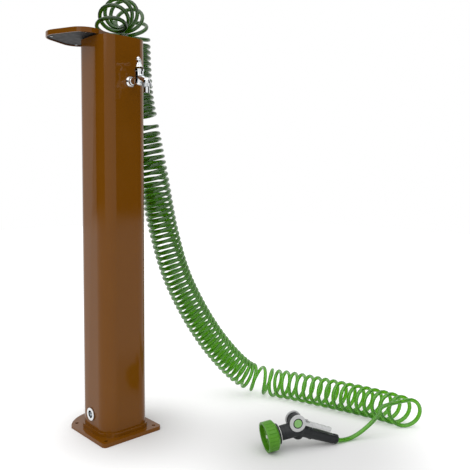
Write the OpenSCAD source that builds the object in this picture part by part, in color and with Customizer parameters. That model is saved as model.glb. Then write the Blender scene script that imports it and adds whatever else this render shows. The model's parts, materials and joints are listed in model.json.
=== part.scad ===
// Garden standpipe: a hollow square column on a bolted foot plate, with a swivel lid, a tap,
// a curly hose drawn out of the open top and a spray gun that lies on the floor.
// Millimetres, Z up. The origin lies on the floor under the middle of the column.

/* [Column] */
// Width of the rounded square section
column_w = 132; // [128:1:136]
// Outer corner radius of the section
corner_r = 37; // [35:1:39]
// Wall of the section
wall = 3; // [2:0.5:4]
// Height of the rim over the floor
rim_z = 988; // [976:1:990]
// Diameter of the screws that enter the corner ports
screw_d = 5; // [4:0.5:6]

/* [Foot plate] */
// Width of the foot plate
plate_w = 172; // [168:1:180]
// Thickness of the foot plate
plate_t = 10; // [9:1:14]
// Reach of the rounded back edge behind the column axis
plate_back = 118; // [112:1:124]
// Spacing of the ground bolts, both ways
bolt_spacing = 142; // [136:1:146]
// Diameter of the ground bolt holes
bolt_d = 9; // [7:0.5:11]
// Height of the collar over the plate
collar_h = 10; // [6:1:16]

/* [Lid] */
// Width of the rounded square lid
lid_w = 148; // [144:1:150]
// Corner radius of the lid
lid_r = 48; // [46:1:52]
// Height of the lid
lid_t = 12; // [11:1:13]
// Diameter of the pivot bolt
pivot_d = 10; // [8:1:12]

/* [Water inlet] */
// Height of the inlet over the floor
inlet_z = 53; // [48:1:70]
// Diameter of the inlet flange
inlet_d = 32; // [30:1:36]
// Bore of the female inlet thread
inlet_bore = 18.6; // [18:0.1:19]
// Outer diameter of the pipes inside the column
pipe_d = 16; // [15:0.5:17]

/* [Tap] */
// Height of the tap axis over the floor
tap_z = 880; // [860:1:884]
// Reach from the column face to the tap barrel
tap_reach = 36; // [32:1:42]
// Reach from the tap barrel to the spout
spout_reach = 31; // [29:1:36]
// Outer diameter of the tap barrel
barrel_d = 21; // [20:0.5:23]
// Diameter of the hose tail under the spout
tail_d = 14; // [12:0.5:15]
// Width over the balls of the crutch handle
crutch_w = 42; // [34:1:50]

/* [Hose] */
// Outer diameter of the hose
hose_d = 10; // [9:0.5:10]
// Outer diameter of the curls
coil_d = 82; // [78:1:82]

/* [Spray gun] */
// Diameter of the dial head
head_d = 70; // [64:1:74]
// Depth of the dial head
head_h = 30; // [27:1:33]
// Diameter of the gun barrel
gun_d = 36; // [34:1:38]
// Length of the handle
handle_l = 98; // [94:1:102]
// Outer diameter of the lever hub ring
hub_d = 40; // [38:1:42]
// Diameter of the push button
button_d = 19.4; // [17:0.2:20]
// Press travel of the lever in degrees
lever_press = 4; // [2:0.5:4]

/* [Hidden] */

// fits
slide_fit = 0.15;
run_fit = 0.05;
thread_fit = 0.05;
face_gap = 0.2;
big = 400;

// colours
brown = "#6A3E14";
chrome = "#D9DCDD";
steel = "#A9ADB0";
brass = "#C9A352";
grey = "#3B3B38";
rubber = "#26282A";
green = "#57A52B";
leaf = "#56A31C";
black = "#2B2E33";
pale = "#E8EBE4";
light = "#D5D5D5";

// column and its screw ports
half = column_w / 2;
inner_w = column_w - 2 * wall;
inner_r = corner_r - wall;
port_r = screw_d / 2 + 3.5;
port_at = half - corner_r + (inner_r - port_r + 1.5) * sqrt(0.5);
screw_hole = screw_d + 0.5;
screw_head_d = screw_d * 1.8;
screw_head_h = 4;
screw_in = 24;

// foot plate
plate_front_r = 10;
plate_back_r = 104;
plate_back_y = plate_back - plate_back_r;
plate_side_y = plate_back_y + sqrt(pow(plate_back_r, 2) - pow(plate_w / 2, 2));
collar_wall = 5;
column_z = plate_t;

// rim frame and lid pivot
frame_t = 5;
frame_z = rim_z - 1 - frame_t;
frame_border = 11;
frame_r = 28;
mouth_left = -22;
pivot_x = 17.5 + wall - half;
bush_wall = 1.5;
bush_flange = 1.6;
pivot_boss_r = pivot_d / 2 + bush_wall + 3;
pivot_boss_z = frame_z - 12;
washer_t = 0.6;
wave_t = 1.6;
bolt_head_h = 4;
bolt_head_z = pivot_boss_z - washer_t - wave_t - bolt_head_h - face_gap;
lid_z = rim_z + 1;
lid_wall = 3;
lid_swing = 115;
liner_t = 2;
liner_z = lid_z + 3;
liner_top = liner_z + liner_t;
lid_roof = lid_z + lid_t - lid_wall;
lid_boss_r = pivot_boss_r - 1;
liner_post_r = 4;
liner_screw_d = 3;
liner_post = lid_w / 2 - 24;

// water way inside the column
way_x = 10;
way_y = 5;
pipe_r = pipe_d / 2;
pipe_wall = 1.5;
pipe_bore = pipe_r - pipe_wall;
socket_r = pipe_r + 3.5;
socket_l = 10;
inlet_bore_l = 16;
inlet_shank_r = inlet_bore / 2 + 2.4;
inlet_face = half + 4;
inlet_back = half - 20;
gasket_t = 1;
locknut_t = 7;
strainer_t = 1;
strainer_z = inlet_face - inlet_bore_l - 1.5 - strainer_t;
tee_half = 20;
seal_t = 2;

// tap
tap_shank_r = 9;
tap_bore = 5.5;
tap_y = half + tap_reach;
spout_y = tap_y + spout_reach;
barrel_r = barrel_d / 2;
rosette_r = barrel_r + 3;
barrel_low = tap_z - 9;
barrel_top = tap_z + 25;
cavity_r = barrel_r - 3;
headwork_z = tap_z + 9;
hex_h = 5;
spindle_r = 3;
disc_t = 3;
handle_z = barrel_top + hex_h + 0.3;
handle_hub_h = 10;
crutch_z = handle_z + 17;
crutch_turn = 49;
ball_r = 4.5;
crutch_r = 3;
spout_r = 8;
spout_end = tap_z - 15;
spout_thread_r = 9.5;
nut_h = 8;
nut_r = spout_thread_r + 3;
nut_lip = 2;
union_flange = 2;
union_seal_t = 1.5;
union_flange_z = spout_end - union_seal_t - union_flange;
tail_end = spout_end - 19;

// spray gun, in its own frame: X is the spray direction, the origin is where barrel and handle meet
gun_pitch = 9;
gun_yaw = 153;
gun_bend = 29;
gun_rest = 0.2;
head_r = head_d / 2;
gun_r = gun_d / 2;
barrel_end = 50;
ring_t = 5;
ring_r = gun_r + 6;
spigot_r = 9;
spigot_l = ring_t + head_h - 14;
head_back = barrel_end + ring_t + face_gap;
head_front = head_back + head_h;
face_t = 3;
face_x = head_front - 11;
recess_r = head_r - 5;
seat_w = 2.5;
slot_w = 2.8;
slot_l = 5;
slot_count = 18;
gun_x = 266;
gun_y = -386;
gun_z = head_front * sin(gun_pitch) + head_r * cos(gun_pitch) + gun_rest;
gun_way = 5;
handle_r1 = gun_r - 1;
handle_r2 = 12.5;
hub_x = 3;
hub_z = 19;
hub_core_r = hub_d / 2 - 3;
hub_half = 12.4;
cheek_in = hub_half + 0.3;
cheek_t = 3.3;
stub_r = button_d / 2 + 2.3;
arm_low = 15.5;
arm_t = 8;
arm_relief = 1;
arm_start = -22;
arm_end = 14 - handle_l;
arm_w = 28;
hub_reach = hub_x * cos(gun_bend) + hub_z * sin(gun_bend);
handle_flat = arm_low - (hub_reach - arm_end) * tan(lever_press) - face_gap;
stem_x = -36;
stem_r = 2.5;
stem_top = arm_low - face_gap;
collar_r = 5.4;
chamber_r = 6;
chamber_top = 4;
stem_collar_z = 0;
cap_top = -9;
spring_turns = 4;
spring_r = 4.2;
wire_r = 0.6;
button_travel = 2;
end_nut_l = 10;
end_nut_r = 11;
end_spigot_r = 8;
end_spigot_l = 6;
gun_seal_t = 1;

// hose route: the axis of the curls from the top of the hang down to the floor
hose_r = hose_d / 2;
coil_r = (coil_d - hose_d) / 2;
arch_foot = [0, 5];
arch_turn = 25;
arch_z = rim_z + 22;
arch_r = 60;
arch_way = [cos(arch_turn), sin(arch_turn)];
arch_far = arch_foot + 2 * arch_r * arch_way;
hang_points = [[arch_far[0], arch_far[1], 1140], [arch_far[0], arch_far[1], 1010], [110, 47, 880], [117, 32, 790],
  [131, 13, 670], [174, 19, 502], [230, 20, 352], [316, -5, 194], [404, -50, 78], [466, -98, 44], [494, -165, 42],
  [516, -240, 42], [537, -321, 42], [554, -396, 42], [563, -454, 42], [562, -507, 42], [548, -557, 42]];
rim_reach = [for (p = hang_points) [p[0], p[1], p[2] + (p[2] > 800 ? arch_z - 1010 : 0)]];
turn_counts = [7, 13, 1, 52, 1, 16, 1.75];
turn_pitches = [0, 15.6, 38, 0, 42, 23.6, 28];
lean_way = [-0.866, -0.5, 0];
lean_table = [[75, 0], [83, 0.3], [91.75, 1.1]];
rings_per_turn = 8;
sides = 6;
start_turn = -15;
hose_foot = tap_z + tee_half + 9;
tail_points = [[way_x, way_y, hose_foot], [way_x, way_y, hose_foot + 13], [12, 4, rim_z - 48], [19, -2, rim_z - 26],
  [27, -9, rim_z - 4], [33, -13, rim_z + 14]];
strand_points = [[490, -478, 72], [468, -476, 55], [447, -468, 36], [420, -455, 16], [394, -445, 6.5]];

// small helpers
function unit(v) = v / norm(v);
function spline(a, b, c, d, t) =
  0.5 * (2 * b + (c - a) * t + (2 * a - 5 * b + 4 * c - d) * t * t + (3 * b - a - 3 * c + d) * t * t * t);
function smooth(p, n) =
  [for (i = [1:len(p) - 3]) for (k = [0:n - 1]) spline(p[i - 1], p[i], p[i + 1], p[i + 2], k / n)];
function run(p) =
  [for (i = 0, s = 0; i < len(p); i = i + 1, s = s + (i < len(p) ? norm(p[i] - p[i - 1]) : 0)) s];
function sums(v) = [for (i = 0, s = 0; i <= len(v); i = i + 1, s = s + (i <= len(v) ? v[i - 1] : 0)) s];
function column_of(s, p, c) = [for (i = [0:len(p) - 1]) [s[i], p[i][c]]];
function tangents(p) =
  [for (i = [0:len(p) - 1]) unit(p[min(i + 1, len(p) - 1)] - p[max(i - 1, 0)])];
function carried(t, n0) =
  [for (i = 0, n = unit(n0 - (n0 * t[0]) * t[0]); i < len(t);
    i = i + 1, n = i < len(t) ? unit(n - (n * t[i]) * t[i]) : n) n];
function turned_y(p, a) = [p[0] * cos(a) + p[2] * sin(a), p[1], p[2] * cos(a) - p[0] * sin(a)];
function turned_z(p, a) = [p[0] * cos(a) - p[1] * sin(a), p[0] * sin(a) + p[1] * cos(a), p[2]];
function gun_point(p) = [gun_x, gun_y, gun_z] + turned_z(turned_y(p, gun_pitch), gun_yaw);
function handle_point(p) = gun_point(turned_y(p, -gun_bend));
function near_point(p, a, b) =
  let (u = b - a, t = max(0, min(1, (p - a) * u / (u * u)))) norm(p - a - t * u);

// curl axis with its length tables
axis_line = concat([for (a = [180:-2:2]) let (p = arch_foot + arch_r * (1 + cos(a)) * arch_way)
  [p[0], p[1], arch_z + arch_r * sin(a)]], smooth(rim_reach, 24));
axis_run = run(axis_line);
axis_l = axis_run[len(axis_run) - 1];
axis_x = column_of(axis_run, axis_line, 0);
axis_y = column_of(axis_run, axis_line, 1);
axis_z = column_of(axis_run, axis_line, 2);
function axis_at(s) = [lookup(s, axis_x), lookup(s, axis_y), lookup(s, axis_z)];

// length of each section of curls: the long middle one takes what the others leave
arch_l = PI * arch_r;
given_l = [for (i = [0:len(turn_counts) - 1]) i == 0 ? arch_l : turn_counts[i] * turn_pitches[i]];
given_marks = sums(given_l);
free_l = axis_l - given_marks[len(given_l)];
section_l = [for (l = given_l) l > 0 ? l : free_l];
turn_marks = sums(turn_counts);
length_marks = sums(section_l);
turn_table = [for (i = [0:len(turn_marks) - 1]) [turn_marks[i], length_marks[i]]];
turns = turn_marks[len(turn_marks) - 1];

// curls wound on the axis, with the tail from the connector and the strand to the gun
wound_s = [for (k = [0:turns * rings_per_turn]) lookup(k / rings_per_turn, turn_table)];
wound_axis = [for (s = wound_s) axis_at(s)];
wound_way = [for (s = wound_s) unit(axis_at(min(s + 2, axis_l)) - axis_at(max(s - 2, 0)))];
wound_t = [for (k = [0:len(wound_s) - 1])
  unit(wound_way[k] + lookup(k / rings_per_turn, lean_table) * lean_way)];
wound_n = carried(wound_t, [1, 0, 0]);
wound = [for (k = [0:len(wound_s) - 1])
  let (a = start_turn + 360 * k / rings_per_turn)
  wound_axis[k] + coil_r * (cos(a) * wound_n[k] + sin(a) * cross(wound_t[k], wound_n[k]))];
last = len(wound) - 1;
hose_end = handle_point([-handle_l - end_nut_l, 0, 0]);
hose_end_in = handle_point([-handle_l - end_nut_l - 12, 0, 0]);
tail_line = concat([tail_points[0]], smooth(concat(tail_points, [wound[0], wound[1]]), 3));
strand_line = smooth(concat([wound[last - 1], wound[last]], strand_points, [hose_end_in, hose_end]), 4);
hose_line = concat(tail_line, wound, [for (i = [1:len(strand_line) - 1]) strand_line[i]], [hose_end_in, hose_end]);
hose_gap = min([for (i = [0:len(hose_line) - 7]) min([for (j = [i + 5:1:len(hose_line) - 2])
  near_point(hose_line[i], hose_line[j], hose_line[j + 1])])]) - hose_d;
hose_run = run(hose_line);
echo(hose_least_gap = hose_gap, hose_length = hose_run[len(hose_run) - 1]);
echo(wound_end = wound[last], end_way = unit(wound[last] - wound[last - 1]), hose_end = hose_end);
echo(hose_low = min([for (p = hose_line) p[2]]) - hose_r, hose_rings = len(hose_line), gun_z = gun_z);

// one unbroken round tube along a line of points
module tube(line, r, n0) {
  t = tangents(line);
  n = carried(t, n0);
  rings = len(line);
  points = [for (i = [0:rings - 1]) for (j = [0:sides - 1])
    line[i] + r * (cos(360 * j / sides) * n[i] + sin(360 * j / sides) * cross(t[i], n[i]))];
  walls = [for (i = [0:rings - 2]) for (j = [0:sides - 1])
    let (a = i * sides + j, b = i * sides + (j + 1) % sides)
    each [[a, a + sides, b], [b, a + sides, b + sides]]];
  top = (rings - 1) * sides;
  caps = [for (j = [1:sides - 2]) each [[0, j, j + 1], [top, top + j + 1, top + j]]];
  polyhedron(points, concat(walls, caps));
}

module rounded(w, r) {
  square([w, w - 2 * r], center = true);
  square([w - 2 * r, w], center = true);
  for (x = [-1, 1], y = [-1, 1])
    translate([x * (w / 2 - r), y * (w / 2 - r)])
      circle(r, $fn = 96);
}

module block(w, r, z, h) {
  translate([0, 0, z])
    linear_extrude(h)
      rounded(w, r);
}

module rod(r, z0, z1, n = 48) {
  translate([0, 0, z0])
    cylinder(h = z1 - z0, r = r, $fn = n);
}

module ring(r, bore, z0, z1) {
  difference() {
    rod(r, z0, z1, 72);
    rod(bore, z0 - 1, z1 + 1);
  }
}

module rod_between(p, q, r) {
  d = q - p;
  translate(p)
    rotate([0, acos(d[2] / norm(d)), atan2(d[1], d[0])])
      cylinder(h = norm(d), r = r, $fn = 48);
}

module at_ports() {
  for (x = [-1, 1], y = [-1, 1])
    translate([x * port_at, y * port_at, 0])
      children();
}

module swung() {
  translate([pivot_x, 0, 0])
    rotate(lid_swing)
      translate([-pivot_x, 0, 0])
        children();
}

module at_pivot() {
  translate([pivot_x, 0, 0])
    children();
}

module at_liner_posts() {
  for (p = [[-1, 1], [1, 1], [1, -1], [-1, -1]])
    translate([p[0] * liner_post, p[1] * liner_post, 0])
      children();
}

// frames with Z along the inlet, tap, barrel, handle and hub axes
module inlet_axis() {
  translate([0, way_y, inlet_z])
    rotate([0, -90, 0])
      children();
}

module tap_axis() {
  translate([way_x, 0, tap_z])
    rotate([90, 0, 0])
      children();
}

module tap_upright() {
  translate([way_x, -tap_y, 0])
    children();
}

module spout_upright() {
  translate([way_x, -spout_y, 0])
    children();
}

module gun() {
  translate([gun_x, gun_y, gun_z])
    rotate([0, gun_pitch, gun_yaw])
      children();
}

module spray() {
  rotate([0, 90, 0])
    children();
}

module handle() {
  rotate([0, -gun_bend, 0])
    children();
}

module grip() {
  handle()
    rotate([0, -90, 0])
      children();
}

module hub() {
  translate([hub_x, 0, hub_z])
    rotate([-90, 0, 0])
      children();
}

module plate_outline() {
  w = plate_w;
  translate([-w / 2, plate_front_r - w / 2])
    square([w, plate_side_y + w / 2 - plate_front_r]);
  translate([plate_front_r - w / 2, -w / 2])
    square([w - 2 * plate_front_r, w / 2]);
  for (x = [-1, 1])
    translate([x * (w / 2 - plate_front_r), plate_front_r - w / 2])
      circle(plate_front_r, $fn = 64);
  intersection() {
    translate([0, plate_back_y])
      circle(plate_back_r, $fn = 128);
    translate([-w / 2, 0])
      square([w, big]);
  }
}

module base_plate() {
  color(brown)
    difference() {
      union() {
        linear_extrude(plate_t)
          plate_outline();
        block(column_w + 2 * (slide_fit + collar_wall), corner_r + slide_fit + collar_wall, 0, plate_t + collar_h);
      }
      block(column_w + 2 * slide_fit, corner_r + slide_fit, plate_t, collar_h + 1);
      for (x = [-1, 1], y = [-1, 1])
        translate([x * bolt_spacing / 2, y * bolt_spacing / 2, 0])
          rod(bolt_d / 2, -1, plate_t + 1);
      at_ports() {
        rod(screw_hole / 2, -1, plate_t + 1);
        rod(screw_head_d / 2 + 0.5, -1, screw_head_h + 1);
      }
    }
}

module foot_screws() {
  color(steel)
    at_ports() {
      rod(screw_head_d / 2, 1, 1 + screw_head_h);
      rod(screw_d / 2, screw_head_h, plate_t + screw_in);
    }
}

module column() {
  color(brown)
    difference() {
      translate([0, 0, column_z])
        linear_extrude(rim_z - column_z)
          difference() {
            union() {
              difference() {
                rounded(column_w, corner_r);
                rounded(inner_w, inner_r);
              }
              at_ports()
                circle(port_r, $fn = 48);
            }
            at_ports()
              circle(screw_d / 2 + thread_fit, $fn = 48);
          }
      block(inner_w, inner_r, frame_z, frame_t + 2);
      inlet_axis()
        rod(inlet_shank_r + slide_fit, half - wall - 1, half + 1);
      tap_axis()
        rod(tap_shank_r + slide_fit, half - wall - 1, half + 1);
    }
}

module frame_mouth() {
  w = inner_w - 2 * frame_border;
  intersection() {
    rounded(w, frame_r);
    translate([mouth_left, -big / 2])
      square([big, big]);
  }
}

module rim_frame() {
  color(grey)
    difference() {
      union() {
        translate([0, 0, frame_z])
          linear_extrude(frame_t)
            difference() {
              rounded(inner_w - 2 * slide_fit, inner_r - slide_fit);
              frame_mouth();
            }
        at_pivot()
          rod(pivot_boss_r, pivot_boss_z, frame_z + 1);
      }
      at_pivot()
        rod(pivot_d / 2 + bush_wall, pivot_boss_z - 1, rim_z);
      at_ports()
        rod(screw_hole / 2, frame_z - 1, rim_z);
    }
}

module frame_screws() {
  top = frame_z + frame_t;
  color(steel)
    at_ports()
      difference() {
        union() {
          rod(screw_head_d / 2, top, top + 1);
          rod(screw_d / 2, frame_z - screw_in / 2, top + 0.5);
        }
        rod(screw_d / 4, top + 0.4, top + 2, 6);
      }
}

module pivot_bush() {
  color(brass)
    at_pivot()
      difference() {
        union() {
          rod(pivot_d / 2 + bush_wall, pivot_boss_z, frame_z + frame_t);
          rod(pivot_boss_r, frame_z + frame_t, frame_z + frame_t + bush_flange);
        }
        rod(pivot_d / 2 + run_fit, pivot_boss_z - 1, rim_z + 2);
      }
}

module pivot_washer() {
  color(steel)
    at_pivot()
      ring(pivot_boss_r, pivot_d / 2 + 0.3, pivot_boss_z - washer_t, pivot_boss_z);
}

module pivot_spring() {
  z = pivot_boss_z - washer_t;
  color(steel)
    at_pivot()
      difference() {
        ring(pivot_boss_r - 1, pivot_d / 2 + 0.4, z - wave_t, z);
        for (a = [0, 120, 240])
          rotate(a) {
            translate([pivot_boss_r, 0, z - wave_t - 1.6])
              rotate([0, -90, 0])
                cylinder(h = pivot_boss_r, r = 2.4, $fn = 32);
            rotate(60)
              translate([pivot_boss_r, 0, z + 1.6])
                rotate([0, -90, 0])
                  cylinder(h = pivot_boss_r, r = 2.4, $fn = 32);
          }
      }
}

module lid() {
  color(brown)
    swung()
      difference() {
        union() {
          difference() {
            block(lid_w, lid_r, lid_z, lid_t);
            block(lid_w - 2 * lid_wall, lid_r - lid_wall, lid_z - 1, lid_t - lid_wall + 1);
          }
          at_pivot()
            rod(lid_boss_r, lid_z, lid_roof + 1);
          at_liner_posts()
            rod(liner_post_r, liner_top, lid_roof + 1);
        }
        at_pivot()
          rod(pivot_d / 2 + thread_fit, lid_z - 1, lid_roof);
        at_liner_posts()
          rod(liner_screw_d / 2 + thread_fit, liner_z, lid_roof);
      }
}

module lid_liner() {
  color(grey)
    swung()
      difference() {
        block(lid_w - 2 * (lid_wall + slide_fit), lid_r - lid_wall - slide_fit, liner_z, liner_t);
        at_pivot()
          rod(lid_boss_r + slide_fit, liner_z - 1, liner_top + 1);
        at_liner_posts()
          rod(liner_screw_d / 2 + 0.2, liner_z - 1, liner_top + 1);
      }
}

module liner_screws() {
  color(steel)
    swung()
      at_liner_posts()
        difference() {
          union() {
            rod(liner_screw_d, liner_z - 1.6, liner_z);
            rod(liner_screw_d / 2, liner_z - 1, lid_roof - 1);
          }
          rod(0.8, liner_z - 3, liner_z - 0.6, 6);
        }
}

module pivot_bolt() {
  color(steel)
    at_pivot()
      difference() {
        union() {
          rod(pivot_boss_r, bolt_head_z, bolt_head_z + bolt_head_h);
          rod(pivot_d / 2, bolt_head_z + 1, lid_roof - 0.5);
        }
        rod(pivot_d / 4, bolt_head_z - 1, bolt_head_z + 3, 6);
      }
}

module inlet_flange() {
  color(chrome)
    inlet_axis()
      difference() {
        union() {
          rod(inlet_d / 2, half + gasket_t, inlet_face, 72);
          rod(inlet_shank_r, inlet_back, inlet_face - 1);
        }
        rod(inlet_bore / 2, inlet_face - inlet_bore_l, inlet_face + 1);
        rod(pipe_r + thread_fit, inlet_back - 1, strainer_z + strainer_t);
        rod(pipe_bore, inlet_back, inlet_face);
      }
}

module inlet_gasket() {
  color(rubber)
    inlet_axis()
      ring(inlet_d / 2 - 1, inlet_shank_r + slide_fit, half, half + gasket_t);
}

module inlet_locknut() {
  z = half - wall - locknut_t;
  color(brass)
    inlet_axis()
      difference() {
        rod(inlet_shank_r + 6, z, z + locknut_t, 6);
        rod(inlet_shank_r + thread_fit, z - 1, z + locknut_t + 1);
      }
}

module inlet_strainer() {
  z = strainer_z;
  color(steel)
    inlet_axis()
      difference() {
        rod(pipe_r, z, z + strainer_t);
        rod(1, z - 1, z + strainer_t + 1, 24);
        for (a = [0:60:300])
          rotate(a)
            translate([pipe_r * 0.55, 0, 0])
              rod(1, z - 1, z + strainer_t + 1, 24);
      }
}

module inlet_pipe() {
  color(steel)
    inlet_axis()
      ring(pipe_r, pipe_bore, socket_l - way_x, strainer_z);
}

module inlet_elbow() {
  color(brass)
    translate([way_x, way_y, inlet_z])
      difference() {
        union() {
          sphere(socket_r, $fn = 64);
          rod(socket_r, 0, 2 * socket_l);
          rotate([0, -90, 0])
            rod(socket_r, 0, 2 * socket_l);
        }
        rod(pipe_r + thread_fit, socket_l, 2 * socket_l + 1);
        rod(pipe_bore, 0, socket_l + 1);
        rotate([0, -90, 0]) {
          rod(pipe_r + thread_fit, socket_l, 2 * socket_l + 1);
          rod(pipe_bore, 0, socket_l + 1);
        }
      }
}

module riser() {
  color(steel)
    translate([way_x, way_y, 0])
      ring(pipe_r, pipe_bore, inlet_z + socket_l, tap_z - tee_half + socket_l);
}

module tee() {
  branch = half - wall - seal_t;
  color(brass)
    difference() {
      union() {
        translate([way_x, way_y, tap_z])
          rod(socket_r, -tee_half, tee_half);
        tap_axis()
          rod(tap_shank_r + 3, -way_y, branch);
      }
      translate([way_x, way_y, tap_z]) {
        rod(pipe_r + thread_fit, -tee_half - 1, socket_l - tee_half);
        rod(pipe_bore, -tee_half, tee_half);
        rod(pipe_r + thread_fit, tee_half - socket_l, tee_half + 1);
      }
      tap_axis() {
        rod(tap_bore, -way_y, branch);
        rod(tap_shank_r + thread_fit, branch - 24, branch + 1);
      }
    }
}

module tap_seal() {
  color(rubber)
    tap_axis()
      ring(tap_shank_r + 3, tap_shank_r + thread_fit, half - wall - seal_t, half - wall);
}

module hose_connector() {
  color(brass)
    translate([way_x, way_y, tap_z])
      difference() {
        union() {
          rod(pipe_r, tee_half - socket_l, tee_half + 1);
          rod(socket_r, tee_half, tee_half + 7, 6);
          rod(hose_r + 2.4, tee_half + 6, tee_half + 21);
        }
        rod(hose_r - 2, tee_half - socket_l - 1, tee_half + 10);
        rod(hose_r + 0.4, tee_half + 9, tee_half + 22);
      }
}

module hose_clamp() {
  r = hose_r + 2.4 + thread_fit;
  color(steel)
    translate([way_x, way_y, tap_z + tee_half + 11])
      difference() {
        union() {
          rod(r + 1.2, 0, 7);
          translate([r, -3.5, 0])
            cube([8, 7, 7]);
        }
        rod(r, -1, 8);
        translate([r - 1, -0.75, -1])
          cube([10, 1.5, 9]);
        translate([r + 4.5, 0, 3.5])
          rotate([90, 0, 0])
            cylinder(h = 20, r = 1.6, center = true, $fn = 32);
      }
}

module tap_rosette() {
  color(chrome)
    tap_axis()
      difference() {
        union() {
          rod(rosette_r, half, half + 2, 72);
          translate([0, 0, half + 2])
            cylinder(h = 4, r1 = rosette_r, r2 = barrel_r + 0.5, $fn = 72);
        }
        rod(tap_shank_r + slide_fit, half - 1, half + 7);
      }
}

module tap_body() {
  bend = [way_x, -spout_y, tap_z - 6];
  root = [way_x, -tap_y, tap_z + 9];
  color(chrome)
    difference() {
      union() {
        tap_axis() {
          rod(tap_shank_r, half - wall - seal_t - 22, tap_y);
          rod(barrel_r, half + 6, half + 12);
        }
        tap_upright() {
          rod(barrel_r, barrel_low, barrel_top);
          rod(barrel_r + 1.5, barrel_top - 5, barrel_top);
          translate([0, 0, barrel_low - 4])
            cylinder(h = 4, r1 = barrel_r - 4, r2 = barrel_r, $fn = 48);
        }
        rod_between(root, bend, spout_r);
        translate(bend)
          sphere(spout_r + 0.4, $fn = 64);
        spout_upright() {
          rod(spout_r - 0.5, spout_end + 6, bend[2]);
          rod(spout_thread_r, spout_end, spout_end + 7);
        }
      }
      tap_axis()
        rod(tap_bore, 0, tap_y);
      tap_upright() {
        rod(tap_bore - 1, barrel_low, headwork_z);
        rod(cavity_r, headwork_z - disc_t - 1, barrel_top + 1);
      }
      rod_between(root, bend, tap_bore - 1.2);
      spout_upright()
        rod(tap_bore - 0.5, spout_end - 1, bend[2]);
    }
}

module tap_headwork() {
  color(brass)
    tap_upright()
      difference() {
        union() {
          rod(cavity_r - thread_fit, headwork_z, barrel_top + 1);
          rod(barrel_r, barrel_top, barrel_top + hex_h, 6);
        }
        rod(spindle_r + run_fit, headwork_z - 1, barrel_top + hex_h + 1);
      }
}

module tap_spindle() {
  color(steel)
    tap_upright()
      rod(spindle_r, headwork_z, handle_z + handle_hub_h);
}

module tap_disc() {
  color(pale)
    tap_upright()
      difference() {
        rod(cavity_r - 0.4, headwork_z - disc_t - face_gap, headwork_z - face_gap);
        for (x = [-1, 1])
          translate([x * cavity_r * 0.5, 0, 0])
            rod(cavity_r * 0.25, headwork_z - 2 * disc_t, headwork_z, 32);
      }
}

module tap_handle() {
  reach = crutch_w / 2 - ball_r;
  color(chrome)
    tap_upright()
      rotate(crutch_turn)
        difference() {
          union() {
            translate([0, 0, handle_z])
              cylinder(h = handle_hub_h, r1 = barrel_r - 1.5, r2 = spindle_r + 2.5, $fn = 64);
            rod(spindle_r + 1.5, handle_z + handle_hub_h - 1, crutch_z);
            sphere_at([0, 0, crutch_z], ball_r, [0, 0, 90]);
            rod_between([-reach, 0, crutch_z], [reach, 0, crutch_z], crutch_r);
            for (x = [-reach, reach])
              sphere_at([x, 0, crutch_z], ball_r, [0, 90, 0]);
          }
          rod(spindle_r + thread_fit, handle_z - 1, handle_z + handle_hub_h);
          rod(1.5, handle_z, crutch_z + ball_r + 1, 32);
          rod(3, crutch_z + ball_r - 1.2, crutch_z + ball_r + 1, 32);
        }
}

module sphere_at(p, r, turn = [0, 0, 0]) {
  translate(p)
    rotate(turn)
      sphere(r, $fn = 48);
}

module handle_screw() {
  top = crutch_z + ball_r;
  color(steel)
    tap_upright()
      difference() {
        union() {
          rod(2.6, top - 1.2, top + 0.6, 32);
          rod(1.5, handle_z + handle_hub_h, top - 1, 32);
        }
        translate([-3, -0.4, top])
          cube([6, 0.8, 2]);
      }
}

module union_nut() {
  low = union_flange_z - nut_lip;
  color(chrome)
    spout_upright()
      difference() {
        rod(nut_r, low, low + nut_h, 72);
        rod(spout_thread_r + thread_fit, union_flange_z, low + nut_h + 1);
        rod(tail_d / 2 + slide_fit, low - 1, union_flange_z + 1);
        for (a = [0:30:330])
          rotate(a)
            translate([nut_r + 0.6, 0, 0])
              rod(1.6, low - 1, low + nut_h + 1, 24);
      }
}

module union_seal() {
  color(rubber)
    spout_upright()
      ring(spout_thread_r - 0.3, tap_bore - 0.5, spout_end - union_seal_t, spout_end);
}

module hose_tail() {
  color(chrome)
    spout_upright()
      difference() {
        union() {
          rod(spout_thread_r - 0.3, union_flange_z, union_flange_z + union_flange);
          rod(tail_d / 2, tail_end, union_flange_z - nut_lip - face_gap);
          rod(tail_d / 2 - 0.4, tail_end, union_flange_z + 1);
        }
        rod(tap_bore - 0.5, tail_end - 1, spout_end);
      }
}

module hose() {
  color(green)
    tube(hose_line, hose_r, [1, 0, 0]);
}

module gun_shell() {
  difference() {
    union() {
      spray()
        cylinder(h = barrel_end, r1 = gun_r, r2 = gun_r - 1, $fn = 72);
      sphere(gun_r + 0.8, $fn = 72);
      sphere_at([2, 0, -11], gun_r - 3);
      grip()
        cylinder(h = handle_l, r1 = handle_r1, r2 = handle_r2, $fn = 72);
      hub()
        rod(hub_core_r, -hub_half, hub_half, 72);
    }
    hub()
      for (z = [hub_half, -hub_half - big])
        rod(hub_d / 2 + 0.5, z, z + big, 72);
    handle()
      translate([-big - 14, -big / 2, handle_flat])
        cube([big + 14 + arm_start + arm_relief, big, big]);
  }
}

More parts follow.
